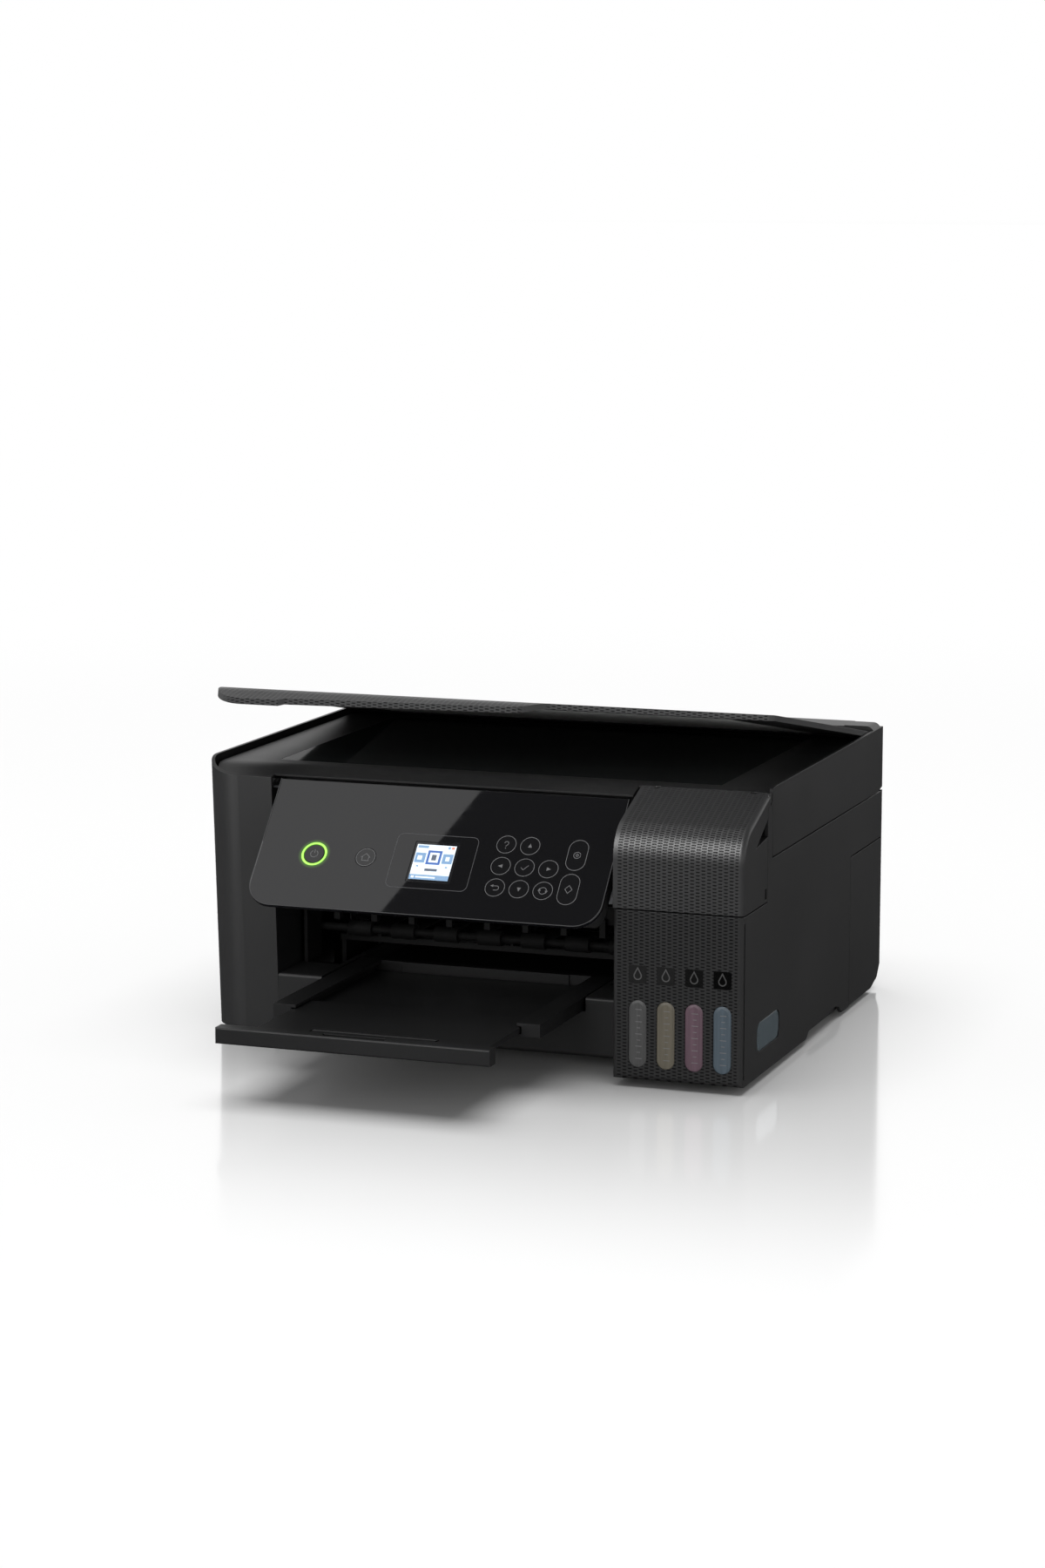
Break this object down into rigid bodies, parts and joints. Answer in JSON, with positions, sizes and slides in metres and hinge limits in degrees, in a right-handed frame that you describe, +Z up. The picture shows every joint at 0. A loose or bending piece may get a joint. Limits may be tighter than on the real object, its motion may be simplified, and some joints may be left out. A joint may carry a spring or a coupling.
{
  "type": "inkjet printer",
  "caption": "Desktop flatbed inkjet printer with a tilting control panel, pull-out output tray, hinged scanner lid and a refillable ink tank unit at the front right.",
  "frame": {"origin": "centre of the footprint of the printer as it stands in use, with the output tray pulled out, at the height of the surface it stands on", "axes": "+Z up, +Y towards the back, +X to the right as seen from the front"},
  "size_m": [0.375, 0.468, 0.2225],
  "materials": {
    "case": "fine matt spark texture, black",
    "textured": "moulded brick-dash relief, black",
    "gloss": "polished piano black",
    "inner": "plain moulded black",
    "steel": "zinc plated",
    "foot_rubber": "soft rubber",
    "clear": "clear smoked plastic",
    "ink_black": "translucent tank, black ink",
    "ink_yellow": "translucent tank, yellow ink",
    "ink_magenta": "translucent tank, magenta ink",
    "ink_cyan": "translucent tank, cyan ink",
    "board": "green circuit board",
    "bed_glass": "float glass over a dark scanner bay",
    "mat_white": "white foam mat",
    "screen": "colour display under a clear lens",
    "roller": "ground rubber on a steel shaft",
    "brass_gear": "turned brass",
    "cap_black": "rubber plug",
    "cap_yellow": "rubber plug",
    "cap_magenta": "rubber plug",
    "cap_cyan": "rubber plug"
  },
  "bodies": {
    "chassis": {"base_pan": "case", "rubber_feet": "foot_rubber", "front_lower_cover": "case", "left_side_cover": "case", "right_side_cover": "case", "rear_cover": "case", "cover_screws": "steel", "rear_feeder_housing": "case", "unit_hinge_rods": "steel", "panel_hinge_pins": "steel", "tank_housing": "textured", "ink_windows": "clear", "ink_tank_black": "ink_black", "ink_tank_yellow": "ink_yellow", "ink_tank_magenta": "ink_magenta", "ink_tank_cyan": "ink_cyan", "carriage_rail": "steel", "platen": "inner", "maintenance_station": "inner", "exit_guide": "inner", "feed_motor": "steel", "main_board": "board", "power_supply": "inner", "power_inlet": "inner", "usb_port": "steel"},
    "scanner_unit": {"scanner_base": "case", "scanner_glass": "bed_glass", "lid_hinge_pins": "steel"},
    "scan_bar": {"scan_bar": "inner"},
    "lid": {"lid_cover": "textured", "lid_mat": "mat_white"},
    "panel": {"panel_shell": "case", "panel_fascia": "gloss", "display_screen": "screen"},
    "output_tray": {"output_tray": "case"},
    "tray_extension": {"tray_extension": "case"},
    "tray_stop": {"tray_stop": "case"},
    "tank_cover": {"tank_cover": "textured"},
    "print_carriage": {"print_carriage": "inner"},
    "feed_roller": {"feed_roller": "roller"},
    "exit_roller": {"exit_roller": "roller"},
    "drive_pinion": {"drive_pinion": "brass_gear"},
    "feeder_cover": {"feeder_cover": "case"},
    "edge_guide": {"edge_guide": "case"},
    "key_power": {"key_power": "gloss"},
    "key_home": {"key_home": "gloss"},
    "key_help": {"key_help": "gloss"},
    "key_up": {"key_up": "gloss"},
    "key_left": {"key_left": "gloss"},
    "key_ok": {"key_ok": "gloss"},
    "key_right": {"key_right": "gloss"},
    "key_back": {"key_back": "gloss"},
    "key_down": {"key_down": "gloss"},
    "key_stop": {"key_stop": "gloss"},
    "key_copy_mono": {"key_copy_mono": "gloss"},
    "key_copy_colour": {"key_copy_colour": "gloss"},
    "tank_cap_black": {"tank_cap_black": "cap_black"},
    "tank_cap_yellow": {"tank_cap_yellow": "cap_yellow"},
    "tank_cap_magenta": {"tank_cap_magenta": "cap_magenta"},
    "tank_cap_cyan": {"tank_cap_cyan": "cap_cyan"}
  },
  "joints": [
    {"name": "scanner_unit_lift", "type": "hinge", "parent": "chassis", "child": "scanner_unit", "pos_m": [0, 0.205, 0.165], "axis": [-1, 0, 0], "range_deg": [0, 30]},
    {"name": "lid_hinge", "type": "hinge", "parent": "scanner_unit", "child": "lid", "pos_m": [0, 0.187, 0.1765], "axis": [-1, 0, 0], "range_deg": [-10.6, 55]},
    {"name": "scan_bar_slide", "type": "slide", "parent": "scanner_unit", "child": "scan_bar", "axis": [1, 0, 0], "range_m": [0, 0.265]},
    {"name": "panel_tilt", "type": "hinge", "parent": "chassis", "child": "panel", "pos_m": [0, -0.06995, 0.1642], "axis": [-1, 0, 0], "range_deg": [-15, 30]},
    {"name": "key_power_press", "type": "slide", "parent": "panel", "child": "key_power", "axis": [0, 0.7443, -0.6678], "range_m": [0, 0.0008], "stiffness_N_per_m": 400},
    {"name": "key_home_press", "type": "slide", "parent": "panel", "child": "key_home", "axis": [0, 0.7443, -0.6678], "range_m": [0, 0.0008], "stiffness_N_per_m": 400},
    {"name": "key_help_press", "type": "slide", "parent": "panel", "child": "key_help", "axis": [0, 0.7443, -0.6678], "range_m": [0, 0.0008], "stiffness_N_per_m": 400},
    {"name": "key_up_press", "type": "slide", "parent": "panel", "child": "key_up", "axis": [0, 0.7443, -0.6678], "range_m": [0, 0.0008], "stiffness_N_per_m": 400},
    {"name": "key_left_press", "type": "slide", "parent": "panel", "child": "key_left", "axis": [0, 0.7443, -0.6678], "range_m": [0, 0.0008], "stiffness_N_per_m": 400},
    {"name": "key_ok_press", "type": "slide", "parent": "panel", "child": "key_ok", "axis": [0, 0.7443, -0.6678], "range_m": [0, 0.0008], "stiffness_N_per_m": 400},
    {"name": "key_right_press", "type": "slide", "parent": "panel", "child": "key_right", "axis": [0, 0.7443, -0.6678], "range_m": [0, 0.0008], "stiffness_N_per_m": 400},
    {"name": "key_back_press", "type": "slide", "parent": "panel", "child": "key_back", "axis": [0, 0.7443, -0.6678], "range_m": [0, 0.0008], "stiffness_N_per_m": 400},
    {"name": "key_down_press", "type": "slide", "parent": "panel", "child": "key_down", "axis": [0, 0.7443, -0.6678], "range_m": [0, 0.0008], "stiffness_N_per_m": 400},
    {"name": "key_stop_press", "type": "slide", "parent": "panel", "child": "key_stop", "axis": [0, 0.7443, -0.6678], "range_m": [0, 0.0008], "stiffness_N_per_m": 400},
    {"name": "key_copy_mono_press", "type": "slide", "parent": "panel", "child": "key_copy_mono", "axis": [0, 0.7443, -0.6678], "range_m": [0, 0.0008], "stiffness_N_per_m": 400},
    {"name": "key_copy_colour_press", "type": "slide", "parent": "panel", "child": "key_copy_colour", "axis": [0, 0.7443, -0.6678], "range_m": [0, 0.0008], "stiffness_N_per_m": 400},
    {"name": "output_tray_slide", "type": "slide", "parent": "chassis", "child": "output_tray", "axis": [0, -1, 0], "range_m": [-0.08, 0]},
    {"name": "tray_extension_slide", "type": "slide", "parent": "output_tray", "child": "tray_extension", "axis": [0, -1, 0], "range_m": [-0.077, 0]},
    {"name": "tray_stop_hinge", "type": "hinge", "parent": "tray_extension", "child": "tray_stop", "pos_m": [0, -0.1964, 0.0393], "axis": [-1, 0, 0], "range_deg": [0, 110]},
    {"name": "tank_cover_hinge", "type": "hinge", "parent": "chassis", "child": "tank_cover", "pos_m": [0, -0.0576, 0.1732], "axis": [-1, 0, 0], "range_deg": [0, 70]},
    {"name": "tank_cap_black_hinge", "type": "hinge", "parent": "chassis", "child": "tank_cap_black", "pos_m": [0, -0.0626, 0.1114], "axis": [-1, 0, 0], "range_deg": [0, 90]},
    {"name": "tank_cap_yellow_hinge", "type": "hinge", "parent": "chassis", "child": "tank_cap_yellow", "pos_m": [0, -0.0626, 0.1114], "axis": [-1, 0, 0], "range_deg": [0, 90]},
    {"name": "tank_cap_magenta_hinge", "type": "hinge", "parent": "chassis", "child": "tank_cap_magenta", "pos_m": [0, -0.0626, 0.1114], "axis": [-1, 0, 0], "range_deg": [0, 90]},
    {"name": "tank_cap_cyan_hinge", "type": "hinge", "parent": "chassis", "child": "tank_cap_cyan", "pos_m": [0, -0.0626, 0.1114], "axis": [-1, 0, 0], "range_deg": [0, 90]},
    {"name": "carriage_slide", "type": "slide", "parent": "chassis", "child": "print_carriage", "axis": [-1, 0, 0], "range_m": [0, 0.215]},
    {"name": "feed_roller_spin", "type": "hinge", "parent": "chassis", "child": "feed_roller", "pos_m": [0, 0.091, 0.061], "axis": [1, 0, 0], "continuous": true},
    {"name": "exit_roller_spin", "type": "hinge", "parent": "chassis", "child": "exit_roller", "pos_m": [0, 0.001, 0.061], "axis": [1, 0, 0], "continuous": true},
    {"name": "drive_pinion_spin", "type": "hinge", "parent": "chassis", "child": "drive_pinion", "pos_m": [0, 0.091, 0.0402], "axis": [1, 0, 0], "continuous": true},
    {"name": "feeder_cover_hinge", "type": "hinge", "parent": "chassis", "child": "feeder_cover", "pos_m": [0, 0.2306, 0.1778], "axis": [-1, 0, 0], "range_deg": [0, 105]},
    {"name": "edge_guide_slide", "type": "slide", "parent": "chassis", "child": "edge_guide", "axis": [1, 0, 0], "range_m": [0, 0.1]}
  ],
  "couplings": [
    {"joint": "exit_roller_spin", "follows": "feed_roller_spin", "ratio": 1.5556},
    {"joint": "drive_pinion_spin", "follows": "feed_roller_spin", "ratio": -2.3333}
  ]
}
